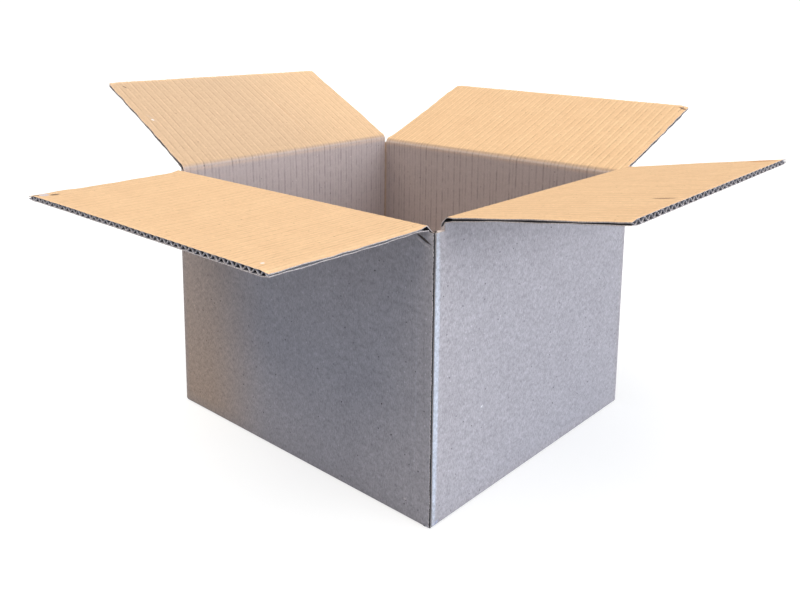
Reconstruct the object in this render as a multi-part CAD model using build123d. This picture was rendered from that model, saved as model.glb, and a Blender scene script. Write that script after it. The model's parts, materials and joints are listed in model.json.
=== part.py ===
"""Open cardboard box: one folded and glued sheet of C-flute board, with four hinged top flaps.

Frame: millimetres, +Z up, origin at the middle of the base, +X along the front wall.
The front wall faces -Y, the right wall +X, the back wall +Y and the left wall -X.
The body (walls, glue tab and bottom flaps) is one solid, and each top flap is another.
"""
import math
import os
from dataclasses import dataclass

from build123d import *

# ---- Overall sizes, outside ----
BOX_LENGTH = 300.0
BOX_WIDTH = 272.0
BOX_HEIGHT = 226.0
FLAP_LENGTH = 134.0

# ---- Board: two liners and a wavy medium ----
BOARD = 4.0
LINER = 0.3
MEDIUM = 0.3
FLUTE_PITCH = 7.8
GLUE_HALF_WIDTH = 0.9
CREST_RISE = 0.5
CRUSH_ALONG_FOLD = 6.0

# ---- Folds ----
FOLD_RADIUS = 3.0
SCORE_LENGTH = 9.0
SCORE_DEPTH = 0.6
HINGE_OFFSET = 0.15
ROOT_CLEARANCE = 0.28
LAYER_CLEARANCE = 0.3

# ---- Slots between the flaps ----
LOWER_FLAP_SLOT = 5.0
UPPER_FLAP_SLOT = 4.6
TAB_SIDE_SLOT = 11.0
SLOT_DROP = 1.0
SLOT_CLEARANCE = 0.4

# ---- Glue tab and the raw edge of the front wall beside it ----
TAB_WIDTH = 35.0
TAB_TAPER = 12.0
TAB_END_CLEARANCE = 1.0
RAW_EDGE_SETBACK = 1.0

# ---- Rest angles of the open flaps, up from the horizontal, in degrees ----
FRONT_ELEVATION = -1.3
RIGHT_ELEVATION = 9.8
BACK_ELEVATION = 20.7
LEFT_ELEVATION = 30.6

# ---- Worked out from the sizes above ----
HALF_LENGTH = BOX_LENGTH / 2
HALF_WIDTH = BOX_WIDTH / 2
UPPER_FOLD = BOX_HEIGHT
LOWER_FOLD = BOX_HEIGHT - BOARD - LAYER_CLEARANCE
SLOT_BOTTOM = LOWER_FOLD - SLOT_DROP
FLOOR_TOP = 2 * BOARD
TAB_TOP = LOWER_FOLD - HINGE_OFFSET - BOARD - TAB_END_CLEARANCE
TAB_BOTTOM = FLOOR_TOP + TAB_END_CLEARANCE


@dataclass(frozen=True)
class Panel:
    """One wall of the box, seen from outside, with the flap that hinges on it."""

    name: str
    middle: tuple
    along: tuple
    inward: tuple
    half_span: float
    fold: float
    slot_start: float
    slot_stop: float
    elevation: float

    @property
    def plan(self):
        """Plane of the wall's plan: x along the wall, y inward from its outer face."""
        return Plane(origin=(*self.middle, 0), x_dir=self.along, z_dir=(0, 0, 1))

    @property
    def hinge(self):
        """Axis of the flap's fold, just outside the wall's outer face."""
        outward = [-value * HINGE_OFFSET for value in self.inward]
        origin = (self.middle[0] + outward[0], self.middle[1] + outward[1], self.fold)
        return Axis(origin, self.along)

    @property
    def closed_section(self):
        """Plane of the closed flap's section: x along the fold, y down from the axis, z inward."""
        return Plane(origin=self.hinge.position, x_dir=self.along, z_dir=self.inward)

    @property
    def profile(self):
        """Plane across the fold: x inward, y up, z along the wall, with the axis at its origin."""
        return Plane(origin=self.hinge.position, x_dir=self.inward, z_dir=self.along)

    @property
    def base_profile(self):
        """Plane across the bottom fold: x inward from the outer face, y up from the base."""
        return Plane(origin=(*self.middle, 0), x_dir=self.inward, z_dir=self.along)

    def floor_section(self, height):
        """Plane of a bottom flap's section: x along the fold, y up from height, z outward."""
        outward = tuple(-value for value in self.inward)
        return Plane(origin=(*self.middle, height), x_dir=self.along, z_dir=outward)


FRONT = Panel("front", (0, -HALF_WIDTH), (1, 0, 0), (0, 1, 0), HALF_LENGTH, LOWER_FOLD,
              LOWER_FLAP_SLOT, LOWER_FLAP_SLOT, FRONT_ELEVATION)
RIGHT = Panel("right", (HALF_LENGTH, 0), (0, 1, 0), (-1, 0, 0), HALF_WIDTH, UPPER_FOLD,
              TAB_SIDE_SLOT, UPPER_FLAP_SLOT, RIGHT_ELEVATION)
BACK = Panel("back", (0, HALF_WIDTH), (-1, 0, 0), (0, -1, 0), HALF_LENGTH, LOWER_FOLD,
             LOWER_FLAP_SLOT, LOWER_FLAP_SLOT, BACK_ELEVATION)
LEFT = Panel("left", (-HALF_LENGTH, 0), (0, -1, 0), (1, 0, 0), HALF_WIDTH, UPPER_FOLD,
             UPPER_FLAP_SLOT, UPPER_FLAP_SLOT, LEFT_ELEVATION)
PANELS = (FRONT, RIGHT, BACK, LEFT)


def flute_hollow(centre, outer_side):
    """Outline of one hollow between the medium and a liner.

    The flat side lies on the outer liner (outer_side true) or on the inner one, and the
    crest, an arc, comes within one medium thickness of the other liner.
    """
    room = BOARD - 2 * LINER
    slope = (FLUTE_PITCH / 2 - 2 * GLUE_HALF_WIDTH) / room
    half_base = FLUTE_PITCH / 2 - GLUE_HALF_WIDTH - MEDIUM / 2 * math.hypot(1, slope)
    shoulder = room - MEDIUM - CREST_RISE
    half_crest = half_base - shoulder * slope
    start = LINER if outer_side else BOARD - LINER
    sense = 1 if outer_side else -1

    def point(across, depth):
        return centre + across, start + sense * depth

    base_left = point(-half_base, 0)
    base_right = point(half_base, 0)
    crest_right = point(half_crest, shoulder)
    crest_top = point(0, shoulder + CREST_RISE)
    crest_left = point(-half_crest, shoulder)
    edges = [
        Line(base_left, base_right),
        Line(base_right, crest_right),
        ThreePointArc(crest_right, crest_top, crest_left),
        Line(crest_left, base_left),
    ]
    return Face(Wire(edges))


def flute_hollows(start, stop):
    """Every hollow centred between start and stop, on the panel's own flute grid."""
    first = math.ceil(2 * start / FLUTE_PITCH)
    last = math.floor(2 * stop / FLUTE_PITCH)
    return [flute_hollow(step * FLUTE_PITCH / 2, step % 2 == 0) for step in range(first, last + 1)]


def board_section(start, stop, crushed_ends=False):
    """Section across the flutes, from start to stop, with the outer face on y = 0.

    A raw side edge cuts through the hollow that it meets. A crushed end, beside a vertical
    fold, is solid.
    """
    blank = Pos((start + stop) / 2, BOARD / 2) * Rectangle(stop - start, BOARD)
    margin = -FLUTE_PITCH / 2
    if crushed_ends:
        margin = CRUSH_ALONG_FOLD + FLUTE_PITCH / 2
    return blank - flute_hollows(start + margin, stop - margin)


def wall_plan():
    """Plan of the four walls: a ring with rounded folds and a raw edge at the glue tab."""
    outline = RectangleRounded(BOX_LENGTH, BOX_WIDTH, FOLD_RADIUS)
    inside = Rectangle(BOX_LENGTH - 2 * BOARD, BOX_WIDTH - 2 * BOARD)
    ring = outline - inside
    corner = Pos(HALF_LENGTH - BOARD / 2, -HALF_WIDTH + BOARD / 2) * Rectangle(BOARD, BOARD)
    raw_edge = Pos(-RAW_EDGE_SETBACK, 0) * corner
    tab_fold_centre = (HALF_LENGTH - FOLD_RADIUS, -HALF_WIDTH + BOARD + FOLD_RADIUS)
    tab_fold_square = Pos(
        HALF_LENGTH - FOLD_RADIUS / 2, -HALF_WIDTH + BOARD + FOLD_RADIUS / 2
    ) * Rectangle(FOLD_RADIUS, FOLD_RADIUS)
    tab_fold = tab_fold_square - Pos(*tab_fold_centre) * Circle(FOLD_RADIUS)
    return (ring - corner) + raw_edge - tab_fold


def wall_hollows():
    """Plan outlines of the walls' flute hollows, clear of the crushed vertical folds."""
    hollows = []
    for panel in PANELS:
        reach = panel.half_span - CRUSH_ALONG_FOLD - FLUTE_PITCH / 2
        stop = panel.half_span if panel is FRONT else reach
        hollows += [panel.plan * hollow for hollow in flute_hollows(-reach, stop)]
    return hollows


def fold_wedge(panel):
    """What the mitre at the fold takes off the top of a wall, between its two slots."""
    start = -panel.half_span + panel.slot_start - SLOT_CLEARANCE
    stop = panel.half_span - panel.slot_stop + SLOT_CLEARANCE
    reach = 2 * BOARD
    outline = Polyline(
        (-reach, reach - ROOT_CLEARANCE),
        (-reach, 2 * reach),
        (reach, 2 * reach),
        (reach, -reach - ROOT_CLEARANCE),
        close=True,
    )
    return extrude(panel.profile * Pos(0, 0, start) * make_face(outline), stop - start, panel.along)


def slot_cut(panel_before, panel_after, corner):
    """What a slot takes off the top of the walls at a corner, down to the fold line."""
    before = panel_before.slot_stop - SLOT_CLEARANCE
    after = panel_after.slot_start - SLOT_CLEARANCE
    height = BOX_HEIGHT - SLOT_BOTTOM
    along = Vector(*panel_before.along)
    onward = Vector(*panel_after.along)
    centre = Vector(*corner, SLOT_BOTTOM + height / 2) - along * before / 2 + onward * after / 2
    size = [abs(along.X) * before + abs(onward.X) * after, abs(along.Y) * before + abs(onward.Y) * after]
    return Pos(centre) * Box(size[0], size[1], height)


def make_walls():
    """The four walls, with blind flute hollows, mitred folds and corner slots at the top."""
    plan = wall_plan() - wall_hollows()
    walls = Pos(0, 0, FLOOR_TOP) * extrude(plan, BOX_HEIGHT - FLOOR_TOP)
    corners = [
        slot_cut(FRONT, RIGHT, (HALF_LENGTH, -HALF_WIDTH)),
        slot_cut(RIGHT, BACK, (HALF_LENGTH, HALF_WIDTH)),
        slot_cut(BACK, LEFT, (-HALF_LENGTH, HALF_WIDTH)),
        slot_cut(LEFT, FRONT, (-HALF_LENGTH, -HALF_WIDTH)),
    ]
    return walls - [fold_wedge(panel) for panel in PANELS] - corners


def bottom_fold_waste(panel):
    """What the rounded bottom fold takes off the lower edge of a wall."""
    square = Pos(FOLD_RADIUS / 2, FOLD_RADIUS / 2) * Rectangle(FOLD_RADIUS, FOLD_RADIUS)
    outline = square - Pos(FOLD_RADIUS, FOLD_RADIUS) * Circle(FOLD_RADIUS)
    outline = outline + Pos(-FOLD_RADIUS / 2, 0) * Rectangle(FOLD_RADIUS, 2 * FOLD_RADIUS)
    half = panel.half_span + BOARD
    return extrude(panel.base_profile * Pos(0, 0, -half) * outline, 2 * half, panel.along)


def make_floor():
    """The bottom: the lower ends of the walls, and two layers of flaps glued together."""
    rim = extrude(wall_plan(), FLOOR_TOP) - [bottom_fold_waste(panel) for panel in PANELS]
    leaves = []
    for panel, height in ((RIGHT, 0), (LEFT, 0), (FRONT, BOARD), (BACK, BOARD)):
        reach = panel.half_span - (UPPER_FLAP_SLOT if height == 0 else LOWER_FLAP_SLOT)
        section = panel.floor_section(height) * board_section(-reach, reach)
        leaf = extrude(section, FLAP_LENGTH - BOARD, panel.inward)
        leaves.append(Pos(*[value * BOARD for value in panel.inward]) * leaf)
    return rim, leaves


def make_glue_tab():
    """The tab that carries on from the right wall and is glued inside the front wall."""
    stop = HALF_LENGTH - BOARD
    start = stop - TAB_WIDTH
    plan = FRONT.plan * Pos(0, BOARD) * board_section(start, stop, crushed_ends=True)
    tab = Pos(0, 0, TAB_BOTTOM) * extrude(plan, TAB_TOP - TAB_BOTTOM)
    drop = TAB_WIDTH * math.tan(math.radians(TAB_TAPER))
    ends = []
    for end, sense in ((TAB_TOP, -1), (TAB_BOTTOM, 1)):
        taper = make_face(Polyline((stop, end), (start, end + sense * drop), (start, end), close=True))
        ends.append(extrude(Plane.XZ * taper, HALF_WIDTH))
    return tab - ends


def make_flap(panel):
    """A top flap, closed over the box, then turned about its fold to the open rest angle."""
    start = -panel.half_span + panel.slot_start
    stop = panel.half_span - panel.slot_stop
    section = panel.closed_section * Pos(0, HINGE_OFFSET) * board_section(start, stop)
    fluted = Pos(*[value * SCORE_LENGTH for value in panel.inward])
    leaf = fluted * extrude(section, FLAP_LENGTH - SCORE_LENGTH, panel.inward)
    outer = -HINGE_OFFSET
    inner = outer - BOARD
    score = inner + SCORE_DEPTH
    outline = Polyline(
        (ROOT_CLEARANCE - outer, outer),
        (ROOT_CLEARANCE - score, score),
        (SCORE_LENGTH - 2 * SCORE_DEPTH, score),
        (SCORE_LENGTH, inner),
        (SCORE_LENGTH, outer),
        close=True,
    )
    root = extrude(panel.profile * Pos(0, 0, start) * make_face(outline), stop - start, panel.along)
    return (leaf + root).rotate(panel.hinge, 180 - panel.elevation)


def make_body():
    """The sheet without its top flaps: walls, glue tab and bottom flaps, as one solid."""
    rim, leaves = make_floor()
    return make_walls() + [rim, make_glue_tab(), *leaves]


os.makedirs("parts", exist_ok=True)
export_step(make_body(), "parts/box_body.step")
for flap_panel in PANELS:
    export_step(make_flap(flap_panel), f"parts/{flap_panel.name}_flap.step")
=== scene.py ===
"""Open cardboard box: the visible board, flutes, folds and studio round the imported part.

Every length is in metres. A panel's own coordinates are s (along its fold), a (inward from
the outer face) and z (up). On a flap they are s, u (from the fold to the cut edge) and t
(depth from the outside liner's face to the inside liner's face).
"""

import json
import logging
import math
from dataclasses import dataclass
from enum import Enum

import bpy
import numpy as np
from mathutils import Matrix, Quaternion, Vector

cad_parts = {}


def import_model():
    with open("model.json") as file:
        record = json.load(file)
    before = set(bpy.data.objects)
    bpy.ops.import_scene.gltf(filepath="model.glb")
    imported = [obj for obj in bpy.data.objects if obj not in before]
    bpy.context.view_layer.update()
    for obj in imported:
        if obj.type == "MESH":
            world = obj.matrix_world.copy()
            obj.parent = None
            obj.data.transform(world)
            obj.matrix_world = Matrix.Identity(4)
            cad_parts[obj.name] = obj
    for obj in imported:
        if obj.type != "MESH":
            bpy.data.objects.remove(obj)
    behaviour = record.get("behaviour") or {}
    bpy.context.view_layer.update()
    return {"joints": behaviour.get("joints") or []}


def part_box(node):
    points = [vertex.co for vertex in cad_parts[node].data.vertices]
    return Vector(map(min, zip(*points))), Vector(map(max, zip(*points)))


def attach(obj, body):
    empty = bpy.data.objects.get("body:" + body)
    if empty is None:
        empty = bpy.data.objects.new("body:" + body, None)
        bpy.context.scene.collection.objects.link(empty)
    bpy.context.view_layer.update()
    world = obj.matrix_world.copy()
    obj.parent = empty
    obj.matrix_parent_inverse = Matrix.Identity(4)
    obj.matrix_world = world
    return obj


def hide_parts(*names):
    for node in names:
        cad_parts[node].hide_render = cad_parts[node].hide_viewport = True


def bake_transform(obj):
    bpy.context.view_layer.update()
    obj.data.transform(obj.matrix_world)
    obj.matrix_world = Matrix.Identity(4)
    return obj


LOG = logging.getLogger("open_box")
MM = 0.001
BODY = "box_body"
# The walls in the order of the folded strip, with their outward directions.
OUTWARD = {"right": (1, 0), "back": (0, 1), "left": (-1, 0), "front": (0, -1)}
# Whole flutes of the strip before each wall.
WALL_FLUTES = 37
LAPS = {name: WALL_FLUTES * number for number, name in enumerate(OUTWARD)}
# How far each wall leans out at the floor, as a share of its distance from the middle.
SPLAY = {"left": 0.040, "right": 0.020, "front": 0.032, "back": 0.020}
# Below this height they lean.
SPLAY_TOP = 0.2
# How strongly the flutes press through inside: from the first strength to the second, between two places.
RIPPLES = {
    "right": (0.35, 0.5, -0.1, 0.1),
    "back": (1.5, 0.7, -0.09, -0.03),
    "left": (0.9, 1.3, -0.05, 0.1),
    "front": (0.7, 0.9, -0.1, 0.1),
}
# What each flap's shape adds to a plain one: see the fields of Flap.
FLAP_LENGTH = 134 * MM
FLAP_SHAPES = {
    "right": {"tip_lift": -1.4 * MM, "twist": 1.4 * MM, "corner_cut": 4.4 * MM},
    "back": {"tip_lift": 2.1 * MM, "twist": 2.1 * MM, "corner_cut": 2.9 * MM, "flare": 0.7 * MM},
    # The left flap gets painted shade, strongest towards its front end.
    "left": {"tip_lift": -3.2 * MM, "twist": 0.3 * MM, "dull": 1.0},
    "front": {
        "tip_lift": 1.9 * MM,
        "corner_cut": 5.4 * MM,
        "corner_pull": 1.4 * MM,
        "inner_zone": 0.6 * MM,
        "split_fold": True,
    },
}


class Face(Enum):
    """Which surface of the board a mesh face belongs to, and its place in the material list."""

    OUTSIDE = 0
    INSIDE = 1
    CUT = 2
    FLUTE = 3


# Finish of the front, the back and the border of each sheet of the board.
INSIDE_LINER = (Face.INSIDE, Face.FLUTE, Face.CUT)
OUTSIDE_LINER = (Face.OUTSIDE, Face.FLUTE, Face.CUT)
MEDIUM = (Face.FLUTE, Face.FLUTE, Face.CUT)


# ---------------------------------------------------------------- small numpy helpers


def smooth(values: np.ndarray, low: float, high: float) -> np.ndarray:
    """Smooth step: k*k*(3 - 2k), with k the place of a value between low and high, 0 to 1."""
    k = np.clip((np.asarray(values, float) - low) / (high - low), 0, 1)
    return k * k * (3 - 2 * k)


def bump(values: np.ndarray, centre: float, width: float) -> np.ndarray:
    """Bell: exp(-((value - centre) / width) squared)."""
    return np.exp(-(((np.asarray(values, float) - centre) / width) ** 2))


def waves(x: np.ndarray, y: np.ndarray, size: float, seed: int) -> np.ndarray:
    """Uneven field: a third of the sum of five sines of (x cos h + y sin h), at seeded headings h.

    Args:
        x: First coordinate.
        y: Second coordinate.
        size: Rough distance between its high places.
        seed: Picks the headings, lengths and phases.

    Returns:
        The field, about -1 to 1.
    """
    rng = np.random.default_rng(seed)
    heading = rng.uniform(0, 2 * math.pi, 5)
    length = size * rng.uniform(0.7, 1.4, 5)
    phase = rng.uniform(0, 2 * math.pi, 5)
    total = np.zeros(np.broadcast(x, y).shape)
    for turn, period, shift in zip(heading, length, phase):
        total = total + np.sin(2 * math.pi * (x * math.cos(turn) + y * math.sin(turn)) / period + shift)
    return total / 3


def rounded_path(corners: np.ndarray, radii: list[float], divisions: list[int], turn: int = 5) -> np.ndarray:
    """Points along a bent line whose inner corners are rounded.

    At a corner c the curve is (1-k)^2 p + 2k(1-k) c + k^2 q, with p and q a radius before and
    after it on its two arms, and k from 0 to 1.

    Args:
        corners: Corner points, one row each.
        radii: How far from each inner corner the rounding starts.
        divisions: Steps on each straight arm.
        turn: Steps round each corner.

    Returns:
        The points, one row each.
    """
    points = [corners[:1]]
    start = corners[0]
    for n in range(1, len(corners)):
        arm = corners[n] - corners[n - 1]
        arm = arm / np.linalg.norm(arm)
        inner = n < len(corners) - 1
        stop = corners[n] - arm * radii[n - 1] if inner else corners[n]
        k = np.linspace(0, 1, divisions[n - 1] + 1)[1:, None]
        points.append(start + (stop - start) * k)
        if inner:
            onward = corners[n + 1] - corners[n]
            onward = onward / np.linalg.norm(onward)
            start = corners[n] + onward * radii[n - 1]
            k = np.linspace(0, 1, turn + 1)[1:, None]
            points.append((1 - k) ** 2 * stop + 2 * k * (1 - k) * corners[n] + k**2 * start)
    return np.concatenate(points)


def path_normals(path: np.ndarray) -> np.ndarray:
    """Normal at each point of a path in (a, b): its direction turned clockwise, (db, -da)."""
    step = np.gradient(path, axis=0)
    step = step / np.linalg.norm(step, axis=1)[:, None]
    return np.stack([step[:, 1], -step[:, 0]], axis=1)


# ---------------------------------------------------------------- meshes


@dataclass
class Shell:
    """Part of a mesh: points, four-sided faces, their finish, the sheet coordinates, and creases, cut edges
    and painted light.
    """

    points: np.ndarray
    faces: np.ndarray
    finish: np.ndarray
    sheet: np.ndarray
    # The last three fields hold pressed creases, paler cut edges, and painted shade, highlight and bounce
    # light, as closed_sheet describes.
    crease: np.ndarray
    edge: np.ndarray
    shelter: np.ndarray


def closed_sheet(
    front: np.ndarray,
    back: np.ndarray,
    sheet: np.ndarray,
    finishes: tuple[Face, Face, Face],
    crease: np.ndarray | float = 0.0,
    edge: np.ndarray | float = 0.0,
    shelter: np.ndarray | float = 0.0,
) -> Shell:
    """Closed solid between two grids of points, joined all round by their border.

    Args:
        front: Grid (rows, columns, 3) of the face that shows.
        back: Grid of the other face.
        sheet: Grid (rows, columns, 2) of the distances along the board.
        finishes: Finish of the front, of the back and of the border.
        crease: Grid of how pressed or shaded the liner is, 0 to 1: darker at folds, and painted shade near the
            floor, in the inner corners and on the left flap.
        edge: Grid of how near a cut edge is, and of painted highlight below the folds, 0 to 1.
        shelter: Grid of painted shade, 1 inside the box and 0 on the flaps, and of painted warm bounce light
            on the outside.

    Returns:
        The shell, with its faces turned outwards.
    """
    rows, cols = front.shape[:2]
    index = np.arange(rows * cols).reshape(rows, cols)
    quads = np.stack([index[:-1, :-1], index[:-1, 1:], index[1:, 1:], index[1:, :-1]], -1).reshape(-1, 4)
    other = quads[:, ::-1] + rows * cols
    ring = np.concatenate([index[0, :-1], index[:-1, -1], index[-1, :0:-1], index[:0:-1, 0]])
    ahead = np.roll(ring, -1)
    border = np.stack([ahead, ring, ring + rows * cols, ahead + rows * cols], -1)
    faces = np.concatenate([quads, other, border])
    r, c = rows // 2, cols // 2
    across = np.cross(front[r, c] - front[r, c - 1], front[r, c] - front[r - 1, c])
    if across @ (front[r, c] - back[r, c]) < 0:
        faces = faces[:, ::-1]
    finish = np.repeat([face.value for face in finishes], [len(quads), len(other), len(border)])
    wear_and_light = [np.tile(np.broadcast_to(grid, (rows, cols)).ravel(), 2) for grid in (crease, edge, shelter)]
    points = np.concatenate([front.reshape(-1, 3), back.reshape(-1, 3)])
    return Shell(points, faces, finish, np.tile(sheet.reshape(-1, 2), (2, 1)), *wear_and_light)


def splayed(points: np.ndarray) -> np.ndarray:
    """Walls that lean out a little towards the floor.

    Below SPLAY_TOP, x and y are multiplied by 1 + splay (1 - z / SPLAY_TOP).
    """
    side = np.where(points[:, :2] < 0, (SPLAY["left"], SPLAY["front"]), (SPLAY["right"], SPLAY["back"]))
    share = 1 + side * np.clip(1 - points[:, 2:] / SPLAY_TOP, 0, 1)
    return np.concatenate([points[:, :2] * share, points[:, 2:]], axis=1)


def make_object(name: str, shells: list[Shell], materials: list[bpy.types.Material]) -> bpy.types.Object:
    """One smooth-shaded object from shells, with the sheet map and the attributes of creases, cut edges and
    painted light.

    Args:
        name: Name of the piece.
        shells: What it is made of.
        materials: One material for each Face, in its order.

    Returns:
        The object, at the origin.
    """

    def joined(label: str) -> np.ndarray:
        """One field of all the shells."""
        return np.concatenate([getattr(shell, label) for shell in shells])

    starts = np.cumsum([0] + [len(shell.points) for shell in shells[:-1]])
    points = splayed(joined("points"))
    faces = np.concatenate([shell.faces + start for shell, start in zip(shells, starts)])
    mesh = bpy.data.meshes.new(name)
    mesh.vertices.add(len(points))
    mesh.vertices.foreach_set("co", points.astype(np.float32).ravel())
    mesh.loops.add(faces.size)
    mesh.loops.foreach_set("vertex_index", faces.astype(np.int32).ravel())
    mesh.polygons.add(len(faces))
    mesh.polygons.foreach_set("loop_start", np.arange(0, faces.size, 4, dtype=np.int32))
    mesh.polygons.foreach_set("material_index", joined("finish").astype(np.int32))
    mesh.update(calc_edges=True)
    layer = mesh.uv_layers.new(name="board")
    layer.data.foreach_set("uv", joined("sheet")[faces.ravel()].astype(np.float32).ravel())
    for label in ("crease", "edge", "shelter"):
        layer = mesh.attributes.new(label, "FLOAT", "POINT")
        layer.data.foreach_set("value", joined(label).astype(np.float32))
    for material in materials:
        mesh.materials.append(material)
    mesh.validate()
    mesh.set_sharp_from_angle(angle=math.radians(48))
    piece = bpy.data.objects.new(name, mesh)
    bpy.context.scene.collection.objects.link(piece)
    LOG.info("%s: %d faces", name, len(mesh.polygons))
    return piece


# ---------------------------------------------------------------- the board and its panels


@dataclass(frozen=True)
class Board:
    """Corrugated board: two liners and a wavy medium."""

    thick: float = 4.0 * MM
    liner: float = 0.3 * MM
    medium: float = 0.4 * MM
    pitch: float = 7.8 * MM
    groove: float = 0.16 * MM
    steps: int = 8

    def columns(self, start: float, stop: float, steps: int = 0) -> np.ndarray:
        """Places across the flutes: start, stop, and each pitch / steps of the panel's grid between.

        Args:
            start: First place.
            stop: Last place.
            steps: Places in each flute, or 0 for the board's own.

        Returns:
            The places, rising.
        """
        step = self.pitch / (steps or self.steps)
        inner = np.arange(math.ceil(start / step + 0.3), math.floor(stop / step - 0.3) + 1) * step
        return np.concatenate([[start], inner, [stop]])

    def washboard(self, s: np.ndarray, seed: int) -> np.ndarray:
        """Dip of the inside liner, deepest on the glue lines.

        It is groove (1 + 0.2 waves) ((1 + cos(2 pi s / pitch)) / 2) ^ 2, and the seed picks the waves.
        """
        wave = (0.5 + 0.5 * np.cos(2 * math.pi * s / self.pitch)) ** 2
        return self.groove * (1 + 0.2 * waves(s, s * 0, 47 * MM, seed)) * wave

    def flute(self, s: np.ndarray) -> np.ndarray:
        """Depth of the medium's middle: thick/2 + reach w (1.22 - 0.22 w^2), w = cos(2 pi s / pitch)."""
        reach = self.thick / 2 - self.liner - self.medium / 2
        w = np.cos(2 * math.pi * s / self.pitch)
        return self.thick / 2 + reach * w * (1.22 - 0.22 * w * w)

    def medium_faces(self, s: np.ndarray) -> tuple[np.ndarray, np.ndarray, np.ndarray, np.ndarray]:
        """Place and depth of both faces: the middle moved half the thickness along its own normal."""
        t = self.flute(s)
        slope = np.gradient(t, s)
        scale = self.medium / 2 / np.hypot(1, slope)
        return s - slope * scale, t + scale, s + slope * scale, t - scale


@dataclass(frozen=True)
class Panel:
    """One wall of the box and the fold of its flap."""

    name: str
    out: tuple[float, float]
    half: float
    reach: float
    fold: float
    start: float
    stop: float
    laps: int
    seed: int
    ripple: tuple[float, float, float, float]

    def painted_warm_bounce(self, s: np.ndarray) -> np.ndarray:
        """Painted warm bounce light on the outside: on the front wall only, most towards its far end."""
        return (1 - smooth(s, -0.115, -0.02)) * (self.name == "front")

    def ripples(self, s: np.ndarray) -> np.ndarray:
        """How strongly the flutes show: from low to high along a smooth step between two places."""
        low, high, first, last = self.ripple
        return low + (high - low) * smooth(s, first, last)

    @property
    def along(self) -> tuple[float, float]:
        """Direction of s: the outward direction turned a quarter anticlockwise."""
        return -self.out[1], self.out[0]

    def place(self, s: np.ndarray, a: np.ndarray, z: np.ndarray) -> np.ndarray:
        """Points in the part's frame: out * (reach - a) + along * s, at height z."""
        s, a, z = np.broadcast_arrays(s, a, z)
        x = self.out[0] * (self.reach - a) + self.along[0] * s
        y = self.out[1] * (self.reach - a) + self.along[1] * s
        return np.stack([x, y, z], -1)

    def sheet(self, s: np.ndarray, height: np.ndarray, board: Board) -> np.ndarray:
        """Distances along the board: (s + whole flutes, height), so that every panel keeps its flute grid."""
        s, height = np.broadcast_arrays(s, height)
        return np.stack([s + self.laps * board.pitch, height], -1)


# ---------------------------------------------------------------- top flaps


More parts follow.
